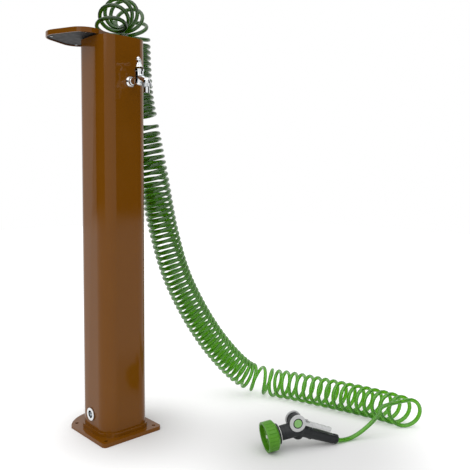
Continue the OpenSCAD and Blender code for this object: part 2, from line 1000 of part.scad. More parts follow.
module gun_body() {
  color(black)
    gun()
      difference() {
        union() {
          gun_shell();
          spray()
            rod(spigot_r, barrel_end - 1, barrel_end + spigot_l);
          grip()
            rod(end_spigot_r, handle_l - 1, handle_l + end_spigot_l);
          hub()
            rod(stub_r, -hub_half - cheek_t, hub_half + cheek_t);
        }
        spray() {
          rod(gun_way, 0, barrel_end + spigot_l + 1);
          for (x = [barrel_end * 0.72, barrel_end * 0.86])
            ring(gun_r + 2, gun_r - 1.6, x, x + 2);
        }
        grip()
          rod(gun_way - 0.8, 0, handle_l + end_spigot_l + 1);
        handle()
          translate([stem_x, 0, 0]) {
            rod(stem_r + run_fit, 0, handle_flat + 1);
            rod(chamber_r, -big / 4, chamber_top);
          }
        hub()
          rod(button_d / 2 + run_fit, hub_half - 4, hub_half + cheek_t + 1);
      }
}

module gun_ring() {
  color(black)
    gun()
      spray()
        difference() {
          rod(ring_r, barrel_end, barrel_end + ring_t, 72);
          rod(spigot_r + thread_fit, barrel_end - 1, barrel_end + ring_t + 1);
        }
}

module gun_head() {
  color(leaf)
    gun()
      spray()
        difference() {
          union() {
            translate([0, 0, head_back])
              cylinder(h = 6, r1 = head_r - 8, r2 = head_r, $fn = 96);
            rod(head_r, head_back + 6, head_front, 96);
          }
          rod(spigot_r + run_fit, head_back - 1, head_back + head_h);
          rod(recess_r, face_x, head_front + 1, 96);
          rod(recess_r - seat_w, head_back + 8, head_front);
          for (a = [0:15:345])
            rotate(a)
              translate([head_r + 1.2, 0, 0])
                rod(2.4, head_back - 1, head_front - 5, 24);
        }
}

module gun_face() {
  color(leaf)
    gun()
      spray()
        difference() {
          rod(recess_r - 0.05, face_x, face_x + face_t, 96);
          rod(4, face_x - 1, face_x + face_t + 1);
          for (a = [0:30:330])
            rotate(a)
              translate([recess_r * 0.45, 0, 0])
                rod(1.2, face_x - 1, face_x + face_t + 1, 24);
          for (i = [0:slot_count - 1])
            rotate(i * 360 / slot_count)
              translate([recess_r - seat_w - slot_l, -slot_w / 2, face_x - 1])
                cube([slot_l, slot_w, face_t + 2]);
        }
}

module gun_jet() {
  color(pale)
    gun()
      spray()
        difference() {
          union() {
            rod(3.95, face_x, face_x + face_t + 3);
            rod(6, face_x - 1.5, face_x);
          }
          rod(1.5, face_x - 2, face_x + face_t + 4, 32);
        }
}

module lever_arm() {
  handle() {
    intersection() {
      translate([arm_end, 0.6 - cheek_in - cheek_t, arm_low])
        cube([arm_start - arm_end, 2 * (cheek_in + cheek_t - 0.6), 2 * arm_t]);
      grip_crown();
      union() {
        translate([arm_end + arm_w / 2, 0, 0])
          rod(arm_w / 2, 0, big / 4);
        translate([arm_end + arm_w / 2, -arm_w / 2, 0])
          cube([big, arm_w, big / 4]);
        translate([arm_start - 14, -big / 2, 0])
          cube([big, big, big / 4]);
      }
    }
    for (y = [-1, 1])
      translate([arm_start - 4, y * (cheek_in + cheek_t / 2) - cheek_t / 2 + 0.3, arm_low])
        cube([hub_d / 2 + 2, cheek_t - 0.6, arm_t - 0.5]);
  }
}

module grip_crown() {
  translate([0, 0, arm_low + arm_t - 26])
    rotate([0, -90, 0])
      rod(26, -big / 4, big / 2, 96);
}

module gun_lever() {
  color(light)
    gun()
      difference() {
        union() {
          hub()
            for (z = [cheek_in, -cheek_in - cheek_t])
              rod(hub_d / 2, z, z + cheek_t, 72);
          lever_arm();
        }
        hub()
          rod(stub_r + run_fit, -big / 4, big / 4);
      }
}

module gun_button() {
  top = hub_half + cheek_t;
  color(leaf)
    gun()
      hub() {
        rod(button_d / 2, hub_half - 4 + button_travel + face_gap, top);
        translate([0, 0, top])
          cylinder(h = 2, r1 = button_d / 2, r2 = button_d / 2 - 2, $fn = 48);
      }
}

module valve_stem() {
  color(steel)
    gun()
      handle()
        translate([stem_x, 0, 0]) {
          rod(stem_r, stem_collar_z, stem_top);
          rod(collar_r, stem_collar_z, stem_collar_z + 2);
        }
}

module valve_spring() {
  steps = spring_turns * 8;
  low = cap_top + wire_r;
  rise = stem_collar_z - wire_r - low;
  color(steel)
    gun()
      handle()
        translate([stem_x, 0, 0])
          tube([for (k = [0:steps]) [spring_r * cos(45 * k), spring_r * sin(45 * k), low + rise * k / steps]],
            wire_r, [1, 0, 0]);
}

module valve_cap() {
  low = stem_x * (handle_r1 - handle_r2) / handle_l;
  color(black)
    gun()
      handle()
        translate([stem_x, 0, 0])
          difference() {
            rod(chamber_r - thread_fit, -handle_r1 - low - 0.5, cap_top);
            translate([-4, -0.6, -handle_r1 - low - 1])
              cube([8, 1.2, 1.8]);
          }
}

module gun_nut() {
  z = handle_l;
  color(black)
    gun()
      grip()
        difference() {
          rod(end_nut_r, z, z + end_nut_l, 72);
          rod(end_spigot_r + thread_fit, z - 1, z + end_spigot_l + gun_seal_t);
          rod(hose_r - 2, z, z + end_nut_l + 1);
          for (a = [0:30:330])
            rotate(a)
              translate([end_nut_r + 0.7, 0, 0])
                rod(1.6, z - 1, z + end_nut_l + 1, 24);
        }
}

module gun_seal() {
  z = handle_l + end_spigot_l;
  color(rubber)
    gun()
      grip()
        ring(end_spigot_r - 0.2, hose_r - 2, z, z + gun_seal_t);
}

base_plate();
foot_screws();
column();
rim_frame();
frame_screws();
pivot_bush();
pivot_washer();
pivot_spring();
lid();
lid_liner();
liner_screws();
pivot_bolt();
inlet_flange();
inlet_gasket();
inlet_locknut();
inlet_strainer();
inlet_pipe();
inlet_elbow();
riser();
tee();
tap_seal();
hose_connector();
hose_clamp();
tap_rosette();
tap_body();
tap_headwork();
tap_spindle();
tap_disc();
tap_handle();
handle_screw();
union_nut();
union_seal();
hose_tail();
hose();
gun_body();
gun_ring();
gun_head();
gun_face();
gun_jet();
gun_lever();
gun_button();
valve_stem();
valve_spring();
valve_cap();
gun_nut();
gun_seal();
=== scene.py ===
# %% [markdown]
# A garden water column stands on a bolted foot plate, with a chrome tap, a swivel lid and a curly hose
# that ends in a spray gun. Its solids are packed already and are loaded here as a fixed frame, so every
# piece below is put where the frame says.

# %% Load the frame
import json
import math

import bmesh
import bpy
import numpy as np
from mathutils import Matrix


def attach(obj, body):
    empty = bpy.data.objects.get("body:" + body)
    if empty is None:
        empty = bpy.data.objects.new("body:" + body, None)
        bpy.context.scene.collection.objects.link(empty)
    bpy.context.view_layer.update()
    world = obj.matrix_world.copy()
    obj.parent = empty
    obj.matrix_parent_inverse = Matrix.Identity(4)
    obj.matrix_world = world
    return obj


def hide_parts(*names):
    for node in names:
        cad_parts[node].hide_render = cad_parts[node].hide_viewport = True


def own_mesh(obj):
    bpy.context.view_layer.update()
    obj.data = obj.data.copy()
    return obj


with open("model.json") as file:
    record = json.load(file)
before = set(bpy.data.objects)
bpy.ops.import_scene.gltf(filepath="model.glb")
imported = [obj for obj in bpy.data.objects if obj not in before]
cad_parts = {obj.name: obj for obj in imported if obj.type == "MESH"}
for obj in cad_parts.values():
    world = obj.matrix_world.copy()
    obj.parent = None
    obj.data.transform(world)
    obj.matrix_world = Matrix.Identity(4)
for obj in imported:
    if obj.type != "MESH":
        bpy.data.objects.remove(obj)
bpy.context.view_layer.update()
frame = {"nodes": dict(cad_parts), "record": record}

MM = 0.001
nodes = frame["nodes"]

# %% [markdown]
# The camera stands about one and a half metres off, at two thirds of the column's height, and looks at
# the column's corner. The picture is a crop of a wider view, so the lens is shifted a little sideways and
# down. A camera could also be aimed with a constraint, but plain numbers stay put when the other views
# move it.

# %% Camera
CAMERA_PLACE = (-0.8196, -1.2892, 0.6419)
CAMERA_TILT, CAMERA_TURN = math.radians(86.955), math.radians(-41.126)
SENSOR_MM, LENS_MM = 36.0, 45.62
LENS_SHIFT = (0.0656, -0.0504)

camera_data = bpy.data.cameras.new("camera")
camera_data.sensor_width = SENSOR_MM
camera_data.lens = LENS_MM
camera_data.shift_x, camera_data.shift_y = LENS_SHIFT
camera = bpy.data.objects.new("camera", camera_data)
camera.location = CAMERA_PLACE
camera.rotation_euler = (CAMERA_TILT, 0.0, CAMERA_TURN)
bpy.context.collection.objects.link(camera)
scene = bpy.context.scene
scene.camera = camera
scene.view_settings.view_transform = "Standard"
print("camera at", CAMERA_PLACE, "lens", LENS_MM)

# %% [markdown]
# Every new surface here is a grid: rows along a path, columns round a section. One function turns such a
# grid into a mesh, closes it round, and merges the points that fall together where a section shrinks to
# nothing. Blender's curve bevel or screw modifier could do part of this, but a grid keeps each formula in
# the open.

# %% Grid to mesh
MERGE_M, SLIVER_M = 2e-6, 1e-7
SMOOTH_DEG = 40.0


def placed_mesh(name, mesh, smooth_deg=SMOOTH_DEG):
    """Merges a mesh's doubles, turns its faces outwards, marks its sharp edges and links it as an object."""
    work = bmesh.new()
    work.from_mesh(mesh)
    bmesh.ops.remove_doubles(work, verts=work.verts, dist=MERGE_M)
    bmesh.ops.dissolve_degenerate(work, edges=work.edges, dist=SLIVER_M)
    bmesh.ops.recalc_face_normals(work, faces=work.faces)
    work.to_mesh(mesh)
    work.free()
    mesh.polygons.foreach_set("use_smooth", np.ones(len(mesh.polygons), bool))
    mesh.set_sharp_from_angle(angle=math.radians(smooth_deg))
    piece = bpy.data.objects.new(name, mesh)
    bpy.context.collection.objects.link(piece)
    return piece


def grid_faces(rows, columns, around):
    """Quads of a grid by index: each joins a point to its right, upper right and upper neighbour."""
    last = columns if around else columns - 1
    i, j = np.meshgrid(np.arange(rows - 1), np.arange(last), indexing="ij")
    low, high, right = i * columns, (i + 1) * columns, (j + 1) % columns
    return np.stack([low + j, low + right, high + right, high + j], -1).reshape(-1, 4)


def grid_piece(name, points, around=True, uv=None, smooth_deg=SMOOTH_DEG):
    """A mesh object from points[row, column, xyz] in metres. Edges sharper than smooth_deg degrees stay
    crisp, and uv[row, column] is stored as the piece's own map."""
    points = np.asarray(points, float)
    rows, columns = points.shape[:2]
    mesh = bpy.data.meshes.new(name)
    mesh.from_pydata(points.reshape(-1, 3).tolist(), [], grid_faces(rows, columns, around).tolist())
    if uv is not None:
        layer = mesh.uv_layers.new(name="along")
        corner = np.empty(len(mesh.loops), np.int32)
        mesh.loops.foreach_get("vertex_index", corner)
        layer.data.foreach_set("uv", np.asarray(uv, np.float32).reshape(-1, 2)[corner].ravel())
    return placed_mesh(name, mesh, smooth_deg)


print("grid helpers ready, doubles merge under", MERGE_M / MM, "mm")

# %% [markdown]
# The hose is a polyurethane tube, wound hot on a mandrel, so it springs back into curls. It leaves the
# connector inside the column, climbs over the rim as a dome of tight curls, hangs beside the column with
# its curls drawn apart by their own weight, and lies on the floor up to the gun, where the pull of the
# gun leans the last curls over. Its facts come first, in millimetres, as in the part's own source: the
# arch over the rim, the axis of the hanging and lying curls, and the plain ends at the connector and gun.

# %% Hose facts
HOSE_R = 5.0
CURL_R = 36.0
ARCH_R = 60.0
ARCH_FOOT = np.array([0.0, 5.0, 1010.0])
ARCH_WAY = np.array([math.cos(math.radians(25)), math.sin(math.radians(25)), 0.0])
ARCH_FAR = ARCH_FOOT + 2 * ARCH_R * ARCH_WAY
HANG = [(*ARCH_FAR[:2], 1140), tuple(ARCH_FAR), (110, 47, 880), (117, 32, 790), (131, 13, 670),
        (174, 19, 502), (230, 20, 352), (316, -5, 194), (404, -50, 78), (466, -98, 44), (494, -165, 42),
        (516, -240, 42), (537, -321, 42), (554, -396, 42), (563, -454, 42), (562, -507, 42), (548, -557, 42)]
TAIL = [(10, 5, 909), (10, 5, 922), (12, 4, 940), (19, -2, 962), (27, -9, 984), (33, -13, 1002)]
STRAND = [(490, -478, 72), (468, -476, 55), (447, -468, 36), (420, -455, 16), (394, -445, 6.5)]
HOSE_END_IN = (366.47, -437.19, 7.05)
HOSE_END = (356.425, -432.074, 11.159)
CURL_COUNTS = np.array([7, 13, 1, 52, 1, 16, 1.75])
CURL_PITCHES = np.array([math.pi * ARCH_R / 7, 15.6, 38, 0, 42, 23.6, 28])
LONG_HANG = 3
LEAN_WAY = np.array([-0.866, -0.5, 0.0])
LEAN_CURLS, LEANS = (75, 83, 91.75), (0.0, 0.3, 1.1)
START_TURN = math.radians(-15)
RINGS_PER_CURL = 24
print("hose: %d curls of %.0f mm radius, %.0f mm thick" % (CURL_COUNTS.sum(), CURL_R, 2 * HOSE_R))

# %% [markdown]
# Four small functions do the winding. A smooth curve runs through the points, distances are measured
# along it, and a normal is carried from ring to ring without twisting. Blender's curve objects keep such
# a normal too, but they don't hand it out, and the curls need it.


# %% Curves and carried normals
def spline(points, per_span):
    """Catmull-Rom curve: at each point it runs along half the step between that point's neighbours."""
    p = np.asarray(points, float)
    a, b, c, d = (q[:, None, :] for q in (p[:-3], p[1:-2], p[2:-1], p[3:]))
    t = (np.arange(per_span) / per_span)[None, :, None]
    curve = 2 * b + (c - a) * t + (2 * a - 5 * b + 4 * c - d) * t**2 + (3 * b - a - 3 * c + d) * t**3
    return 0.5 * curve.reshape(-1, 3)


def lengths(points):
    """Distance along a line of points, from its first one."""
    return np.concatenate([[0.0], np.cumsum(np.linalg.norm(np.diff(points, axis=0), axis=1))])


def tangents(points):
    """Unit directions along a line, from each point's two neighbours."""
    way = np.gradient(points, axis=0)
    return way / np.linalg.norm(way, axis=1, keepdims=True)


def carried(way, first):
    """A normal carried along the line: at each step the part of it that lies along the line is removed."""
    normals = np.empty_like(way)
    n = np.asarray(first, float)
    for i, t in enumerate(way):
        n = n - (n @ t) * t
        n = n / np.linalg.norm(n)
        normals[i] = n
    return normals


print("a spline through the hang has", len(spline(HANG, 1)), "spans")

# %% [markdown]
# The axis is half a circle over the rim and then the hang. Each stretch has its count of curls and its
# pitch, and the long hang takes the length that is left. The curls are circles round this axis that move
# on by one pitch a turn; the last ones have their axis leant over. A curve-array trick could repeat one
# curl, but it would not open and close with the pull.

# %% Hose route
ARCH_STEP_DEG, AXIS_STEPS, TAIL_STEPS, STRAND_STEPS = 2, 24, 6, 8

arch_angle = np.radians(np.arange(180, 0, -ARCH_STEP_DEG))
out, up = (1 + np.cos(arch_angle))[:, None], np.sin(arch_angle)[:, None]
axis = np.concatenate([ARCH_FOOT + ARCH_R * (out * ARCH_WAY + up * (0, 0, 1)), spline(HANG, AXIS_STEPS)])
axis_run = lengths(axis)
section = CURL_COUNTS * CURL_PITCHES
section[LONG_HANG] = axis_run[-1] - section.sum()
curl = np.arange(int(CURL_COUNTS.sum() * RINGS_PER_CURL) + 1) / RINGS_PER_CURL
curl_marks, run_marks = (np.concatenate([[0], np.cumsum(part)]) for part in (CURL_COUNTS, section))
along = np.interp(curl, curl_marks, run_marks)
centre = np.stack([np.interp(along, axis_run, axis[:, c]) for c in range(3)], 1)
axis_way = tangents(axis)
axis_way = np.stack([np.interp(along, axis_run, axis_way[:, c]) for c in range(3)], 1)
axis_way /= np.linalg.norm(axis_way, axis=1, keepdims=True)
axis_way = axis_way + np.interp(curl, LEAN_CURLS, LEANS)[:, None] * LEAN_WAY
axis_way /= np.linalg.norm(axis_way, axis=1, keepdims=True)
axis_normal = carried(axis_way, (1, 0, 0))
turn = (START_TURN + 2 * math.pi * curl)[:, None]
curls = centre + CURL_R * (np.cos(turn) * axis_normal + np.sin(turn) * np.cross(axis_way, axis_normal))
lead = RINGS_PER_CURL // 8
tail = spline([TAIL[0]] + TAIL + [curls[0], curls[lead]], TAIL_STEPS)
strand = spline([curls[-1 - lead], curls[-1]] + STRAND + [HOSE_END_IN, HOSE_END, HOSE_END], STRAND_STEPS)
hose_line = np.concatenate([tail, curls, strand[1:], [HOSE_END]]) * MM

# %% [markdown]
# The tube is a circle carried along the route, closed at both ends. Its map counts millimetres along the
# hose and round it, so that the drawing marks of the extruder can run lengthwise in the finish.

# %% Hose tube
HOSE_SIDES, HOSE_SMOOTH_DEG = 18, 60


def tube_points(line, radius, sides, first=(0.0, 1.0, 0.0)):
    """A circle of the given radius, set square to the line at each of its points."""
    way = tangents(line)
    normal = carried(way, first)
    side = np.cross(way, normal)
    a = np.linspace(0, 2 * math.pi, sides, endpoint=False)[None, :, None]
    return line[:, None, :] + radius * (np.cos(a) * normal[:, None, :] + np.sin(a) * side[:, None, :])


hose_rings = tube_points(hose_line, HOSE_R * MM, HOSE_SIDES)
first_cap, last_cap = (np.broadcast_to(point, hose_rings[:1].shape) for point in hose_line[[0, -1]])
hose_rings = np.concatenate([first_cap, hose_rings, last_cap])
run_mm = lengths(hose_line) / MM
run_mm = np.concatenate([run_mm[:1], run_mm, run_mm[-1:]])
round_mm = np.linspace(0, 2 * math.pi * HOSE_R, HOSE_SIDES, endpoint=False)
hose_map = np.stack(np.meshgrid(run_mm, round_mm, indexing="ij"), -1)
hose = grid_piece("curly_hose", hose_rings, uv=hose_map, smooth_deg=HOSE_SMOOTH_DEG)
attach(hose, "standpipe")
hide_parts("hose")
print("hose faces:", len(hose.data.polygons))

# %% [markdown]
# Colours are written as the eye sees them on a screen and turned to linear light once. Each finish starts
# from the shader's own sockets; patterns read the piece's own coordinates in metres, so a grain of two
# millimetres stays two millimetres on every piece.


# %% Finish helpers
def linear(code):
    """sRGB hex to linear light: up to 0.04045 a 12.92th, and above it ((c + 0.055) / 1.055) ** 2.4."""
    c = np.array([int(code[i:i + 2], 16) for i in (1, 3, 5)]) / 255
    c = np.where(c <= 0.04045, c / 12.92, ((c + 0.055) / 1.055) ** 2.4)
    return (*c.tolist(), 1.0)


def add_node(tree, kind, inputs=None, **settings):
    """Adds a node, sets its own settings, and gives each named input a value or a link."""
    node = tree.nodes.new(kind)
    for name, value in settings.items():
        setattr(node, name, value)
    for name, value in (inputs or {}).items():
        if isinstance(value, bpy.types.NodeSocket):
            tree.links.new(value, node.inputs[name])
        else:
            node.inputs[name].default_value = value
    return node


def new_finish(name, **sockets):
    """A material with its shader's sockets set by name. Returns it with its tree, shader and coordinates."""
    material = bpy.data.materials.new(name)
    material.use_nodes = True
    tree = material.node_tree
    shader = tree.nodes["Principled BSDF"]
    for socket, value in sockets.items():
        shader.inputs[socket.replace("_", " ")].default_value = value
    return material, tree, shader, add_node(tree, "ShaderNodeTexCoord")


def per_mm(size):
    """Scale of a texture whose features are size millimetres wide, on coordinates in metres."""
    return 1.0 / (size * MM)


print("brown in linear light:", np.round(linear("#6A3E14"), 3))

# %% [markdown]
# The column, lid and foot are aluminium with a stoved gloss enamel: a deep brown under a clear, very
# smooth skin. Sprayed enamel never dries quite flat, so a faint orange peel breaks the reflections, and
# handling leaves broad patches that are a touch duller. A flat colour with a coat would look like plastic
# film.

# %% Stoved gloss enamel on aluminium
PEEL_MM, WIPE_MM = 2.4, 70
enamel, tree, shader, place = new_finish("stoved_gloss_enamel", Base_Color=linear("#6A3D08"), Roughness=0.12,
                                         IOR=1.5, Specular_IOR_Level=0.2)
peel = add_node(tree, "ShaderNodeTexNoise",
                {"Vector": place.outputs["Object"], "Scale": per_mm(PEEL_MM), "Detail": 1.0})
wipe = add_node(tree, "ShaderNodeTexNoise",
                {"Vector": place.outputs["Object"], "Scale": per_mm(WIPE_MM), "Detail": 4.0})
dull = add_node(tree, "ShaderNodeMapRange", {"Value": wipe.outputs["Fac"], "From Min": 0.35, "From Max": 0.7,
                                             "To Min": 0.07, "To Max": 0.15})
tint = add_node(tree, "ShaderNodeValToRGB", {"Fac": wipe.outputs["Fac"]})
tint.color_ramp.elements[0].color = linear("#6C3F06")
tint.color_ramp.elements[1].color = linear("#72450C")
bump = add_node(tree, "ShaderNodeBump",
                {"Height": peel.outputs["Fac"], "Strength": 0.05, "Distance": 0.02 * MM})
tree.links.new(tint.outputs["Color"], shader.inputs["Base Color"])
tree.links.new(dull.outputs["Result"], shader.inputs["Roughness"])
tree.links.new(bump.outputs["Normal"], shader.inputs["Normal"])
print("finish:", enamel.name)

# %% [markdown]
# Chrome plate on polished brass mirrors the room. What shows that it is real are soft polishing waves and
# the dried edges of water drops, so roughness and bump change slowly over a few millimetres. A perfect
# mirror would be simpler, but it looks drawn.

# %% Chrome plate
SPOT_MM, WAVE_MM = 6, 4
chrome, tree, shader, place = new_finish("chrome_plate", Base_Color=linear("#DDE0E2"), Metallic=1.0,
                                         Roughness=0.06)
spots = add_node(tree, "ShaderNodeTexNoise",
                 {"Vector": place.outputs["Object"], "Scale": per_mm(SPOT_MM), "Detail": 3.0})
haze = add_node(tree, "ShaderNodeMapRange", {"Value": spots.outputs["Fac"], "From Min": 0.4, "From Max": 0.75,
                                             "To Min": 0.03, "To Max": 0.14})
waves = add_node(tree, "ShaderNodeTexNoise",
                 {"Vector": place.outputs["Object"], "Scale": per_mm(WAVE_MM), "Detail": 0.0})
bump = add_node(tree, "ShaderNodeBump",
                {"Height": waves.outputs["Fac"], "Strength": 0.06, "Distance": 0.1 * MM})
tree.links.new(haze.outputs["Result"], shader.inputs["Roughness"])
tree.links.new(bump.outputs["Normal"], shader.inputs["Normal"])
print("finish:", chrome.name)

# %% [markdown]
# Stainless screws and washers are turned, brass fittings are turned and then darken in damp air. Both get
# fine lathe grain, drawn as stretched noise coarse enough to show, and patches of stain, which are brown
# tarnish on the brass. One loop makes both, because only their colours and gloss differ.

# %% Turned stainless steel and brass
LATHE_MM, STAIN_MM = 3.5, 9
LATHE_SQUEEZE = (1.0, 1.0, 9.0)
LATHED = {"turned_stainless_steel": ("#B4B8BA", "#9A9EA0", 0.24),
          "turned_brass": ("#CFA75A", "#9C7434", 0.22)}
metals = {}
for name, (bright, stained, rough) in LATHED.items():
    metal, tree, shader, place = new_finish(name, Base_Color=linear(bright), Metallic=1.0, Roughness=rough)
    squeeze = add_node(tree, "ShaderNodeMapping",
                       {"Vector": place.outputs["Object"], "Scale": LATHE_SQUEEZE})
    grain = add_node(tree, "ShaderNodeTexNoise",
                     {"Vector": squeeze.outputs["Vector"], "Scale": per_mm(LATHE_MM), "Detail": 2.0})
    stain = add_node(tree, "ShaderNodeTexNoise",
                     {"Vector": place.outputs["Object"], "Scale": per_mm(STAIN_MM), "Detail": 5.0})
    ramp = add_node(tree, "ShaderNodeValToRGB", {"Fac": stain.outputs["Fac"]})
    ramp.color_ramp.elements[0].position = 0.38
    ramp.color_ramp.elements[0].color = linear(bright)
    ramp.color_ramp.elements[1].position = 0.74
    ramp.color_ramp.elements[1].color = linear(stained)
    gloss = add_node(tree, "ShaderNodeMapRange",
                     {"Value": grain.outputs["Fac"], "To Min": rough - 0.08, "To Max": rough + 0.12})
    bump = add_node(tree, "ShaderNodeBump",
                    {"Height": grain.outputs["Fac"], "Strength": 0.12, "Distance": 0.05 * MM})
    tree.links.new(ramp.outputs["Color"], shader.inputs["Base Color"])
    tree.links.new(gloss.outputs["Result"], shader.inputs["Roughness"])
    tree.links.new(bump.outputs["Normal"], shader.inputs["Normal"])
    metals[name] = metal
print("finishes:", ", ".join(metals))

# %% [markdown]
# Moulded plastics differ in colour and in the grain of the mould. The gun's body has a satin, spark-eroded
# grain, its ring and lever are smoother, the lid's liner is plain matt. One loop makes them from a row
# each: name, colour, the tone where it is rubbed, roughness, and the width and depth of the mould's grain.
# The width is drawn at about a millimetre, coarser than it is, so that it shows.

# %% Moulded plastics
RUB_MM = 14
MOULDED = {
    "green_plastic": ("moulded_green_abs", "#448208", "#4E8A10", 0.36, 1.2, 0.10),
    "black_plastic": ("spark_grained_black_abs", "#0F1214", "#181B1E", 0.46, 0.8, 0.30),
    "pale_plastic": ("moulded_pale_abs", "#E6E9E2", "#DCE0D8", 0.30, 1.4, 0.06),
    "grey_plastic": ("moulded_light_grey_abs", "#BCBDBD", "#CCCDCD", 0.28, 1.4, 0.06),
    "dark_plastic": ("matt_charcoal_polypropylene", "#0E0D0F", "#151416", 0.64, 0.9, 0.30),
    "button": ("moulded_pale_green_tpe", "#7DAE66", "#93C580", 0.46, 0.9, 0.16),
    "rubber": ("black_nitrile_rubber", "#232525", "#2E3030", 0.68, 0.9, 0.30),
    "ceramic": ("lapped_alumina", "#ECEBE4", "#E2E1D8", 0.16, 1.0, 0.03),
}
plastics = {}
for slot, (name, tone, rubbed, rough, grit, depth) in MOULDED.items():
    plastic, tree, shader, place = new_finish(name, Base_Color=linear(tone), Roughness=rough, IOR=1.5,
                                              Specular_IOR_Level=0.35)
    grain = add_node(tree, "ShaderNodeTexNoise",
                     {"Vector": place.outputs["Object"], "Scale": per_mm(grit), "Detail": 2.0})
    wear = add_node(tree, "ShaderNodeTexNoise",
                    {"Vector": place.outputs["Object"], "Scale": per_mm(RUB_MM), "Detail": 4.0})
    ramp = add_node(tree, "ShaderNodeValToRGB", {"Fac": wear.outputs["Fac"]})
    ramp.color_ramp.elements[0].position = 0.35
    ramp.color_ramp.elements[0].color = linear(tone)
    ramp.color_ramp.elements[1].position = 0.75
    ramp.color_ramp.elements[1].color = linear(rubbed)
    gloss = add_node(tree, "ShaderNodeMapRange",
                     {"Value": wear.outputs["Fac"], "From Min": 0.3, "From Max": 0.7,
                      "To Min": rough + 0.06, "To Max": rough - 0.05})
    bump = add_node(tree, "ShaderNodeBump",
                    {"Height": grain.outputs["Fac"], "Strength": depth, "Distance": 0.08 * MM})
    tree.links.new(ramp.outputs["Color"], shader.inputs["Base Color"])
    tree.links.new(gloss.outputs["Result"], shader.inputs["Roughness"])
    tree.links.new(bump.outputs["Normal"], shader.inputs["Normal"])
    plastics[slot] = plastic
print("finishes:", ", ".join(p.name for p in plastics.values()))

# %% [markdown]
# The hose is clear green polyurethane: light goes into it and comes out further on, so single curls are
# bright and stacked curls turn dark. Fine drawing lines from the extruder run along it, some eighty
# millimetres long and two wide, and a little haze varies its gloss. Its colour is scaled down along the
# map as painted shade: deepest for the first 4.5 metres from its end in the column, which take in the dome
# of tight curls, lighter down the hang, and back to its own tone by 16.5 metres, near the floor. Glass
# with a coloured volume would be truer inside, but the export drops it.

# %% Clear green polyurethane
FULL_SHADE_UNTIL_MM, SHADE_GONE_BY_MM, PAINTED_SHADE_TONE = 4500.0, 16500.0, 0.22
LINES_ON_MAP = (0.012, 0.55, 1.0)
clear_green, tree, shader, place = new_finish("clear_green_polyurethane", Base_Color=linear("#58A80A"),
                                              Roughness=0.14, IOR=1.5, Transmission_Weight=0.75)
stretch = add_node(tree, "ShaderNodeMapping", {"Vector": place.outputs["UV"], "Scale": LINES_ON_MAP})
lines = add_node(tree, "ShaderNodeTexNoise",
                 {"Vector": stretch.outputs["Vector"], "Scale": 1.0, "Detail": 3.0})
ramp = add_node(tree, "ShaderNodeValToRGB", {"Fac": lines.outputs["Fac"]})
ramp.color_ramp.elements[0].position = 0.3
ramp.color_ramp.elements[0].color = linear("#4A9A04")
ramp.color_ramp.elements[1].position = 0.75
ramp.color_ramp.elements[1].color = linear("#6ABA10")
gloss = add_node(tree, "ShaderNodeMapRange", {"Value": lines.outputs["Fac"], "To Min": 0.1, "To Max": 0.24})
bump = add_node(tree, "ShaderNodeBump",
                {"Height": lines.outputs["Fac"], "Strength": 0.06, "Distance": 0.1 * MM})
# painted shade: the hose's colour is scaled down along its map, deepest near its end in the column
run = add_node(tree, "ShaderNodeSeparateXYZ", {"Vector": place.outputs["UV"]})
painted_shade_along_hose = add_node(tree, "ShaderNodeMapRange",
                  {"Value": run.outputs["X"], "From Min": FULL_SHADE_UNTIL_MM, "From Max": SHADE_GONE_BY_MM,
                   "To Min": PAINTED_SHADE_TONE, "To Max": 1.0})
tone = add_node(tree, "ShaderNodeVectorMath", {0: ramp.outputs["Color"], "Scale": painted_shade_along_hose.outputs["Result"]},
                operation="SCALE")
tree.links.new(tone.outputs["Vector"], shader.inputs["Base Color"])
tree.links.new(gloss.outputs["Result"], shader.inputs["Roughness"])
tree.links.new(bump.outputs["Normal"], shader.inputs["Normal"])
hose.data.materials.append(clear_green)
print("finish:", clear_green.name)

# %% [markdown]
# The solids keep their exact shapes. Real castings and mouldings have no knife edges, so a copy of each
# visible solid gets its loose triangles merged, its flat faces joined and a narrow rounded edge that
# catches the light. Each row gives that edge's width in millimetres. The solid itself stays in the frame
# for collision, and the hidden solids only get their finish.

# %% Finishes by slot, and eased copies of the solids
SHARP_DEG, FLAT_DEG, SOLID_MERGE_M = 32.0, 0.6, 5e-6
EASE = {"base_plate": 1.0, "column": 0.5, "lid": 0.8, "lid_liner": 0.6, "rim_frame": 0.5, "tap_rosette": 0.4,
        "tap_body": 0.4, "tap_headwork": 0.4, "tap_handle": 0.3, "union_nut": 0.2, "hose_tail": 0.3,
        "inlet_flange": 0.5, "gun_body": 0.4, "gun_ring": 0.5, "gun_head": 0.4, "gun_face": 0.2,
        "gun_lever": 0.5, "gun_nut": 0.15}
finishes = {"painted_brown": enamel, "chrome": chrome, "steel": metals["turned_stainless_steel"],
            "brass": metals["turned_brass"], "hose_green": clear_green, **plastics}
behaviour = frame["record"]["behaviour"]
slot_of = {part["node"]: part["material_slot"] for part in frame["record"]["subparts"]}
body_of = {node: body for body, members in behaviour["bodies"].items() for node in members}


def eased(node, width):
    """A copy of a solid with its triangles merged and every sharp edge rounded by width millimetres."""
    mesh = bpy.data.meshes.new(node + "_eased")
    work = bmesh.new()
    work.from_mesh(nodes[node].data)
    bmesh.ops.remove_doubles(work, verts=work.verts, dist=SOLID_MERGE_M)
    bmesh.ops.dissolve_limit(work, angle_limit=math.radians(FLAT_DEG), verts=work.verts, edges=work.edges)
    work.to_mesh(mesh)
    work.free()
    mesh.polygons.foreach_set("use_smooth", np.ones(len(mesh.polygons), bool))
    mesh.set_sharp_from_angle(angle=math.radians(SHARP_DEG))
    mesh.materials.append(finishes[slot_of[node]])
    piece = bpy.data.objects.new(node + "_eased", mesh)
    bpy.context.collection.objects.link(piece)
    round_edge = piece.modifiers.new("eased edges", "BEVEL")
    round_edge.width = width * MM
    round_edge.segments = 2
    round_edge.limit_method = "ANGLE"
    round_edge.angle_limit = math.radians(SHARP_DEG)
    round_edge.harden_normals = True
    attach(piece, body_of[node])
    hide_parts(node)
    return piece


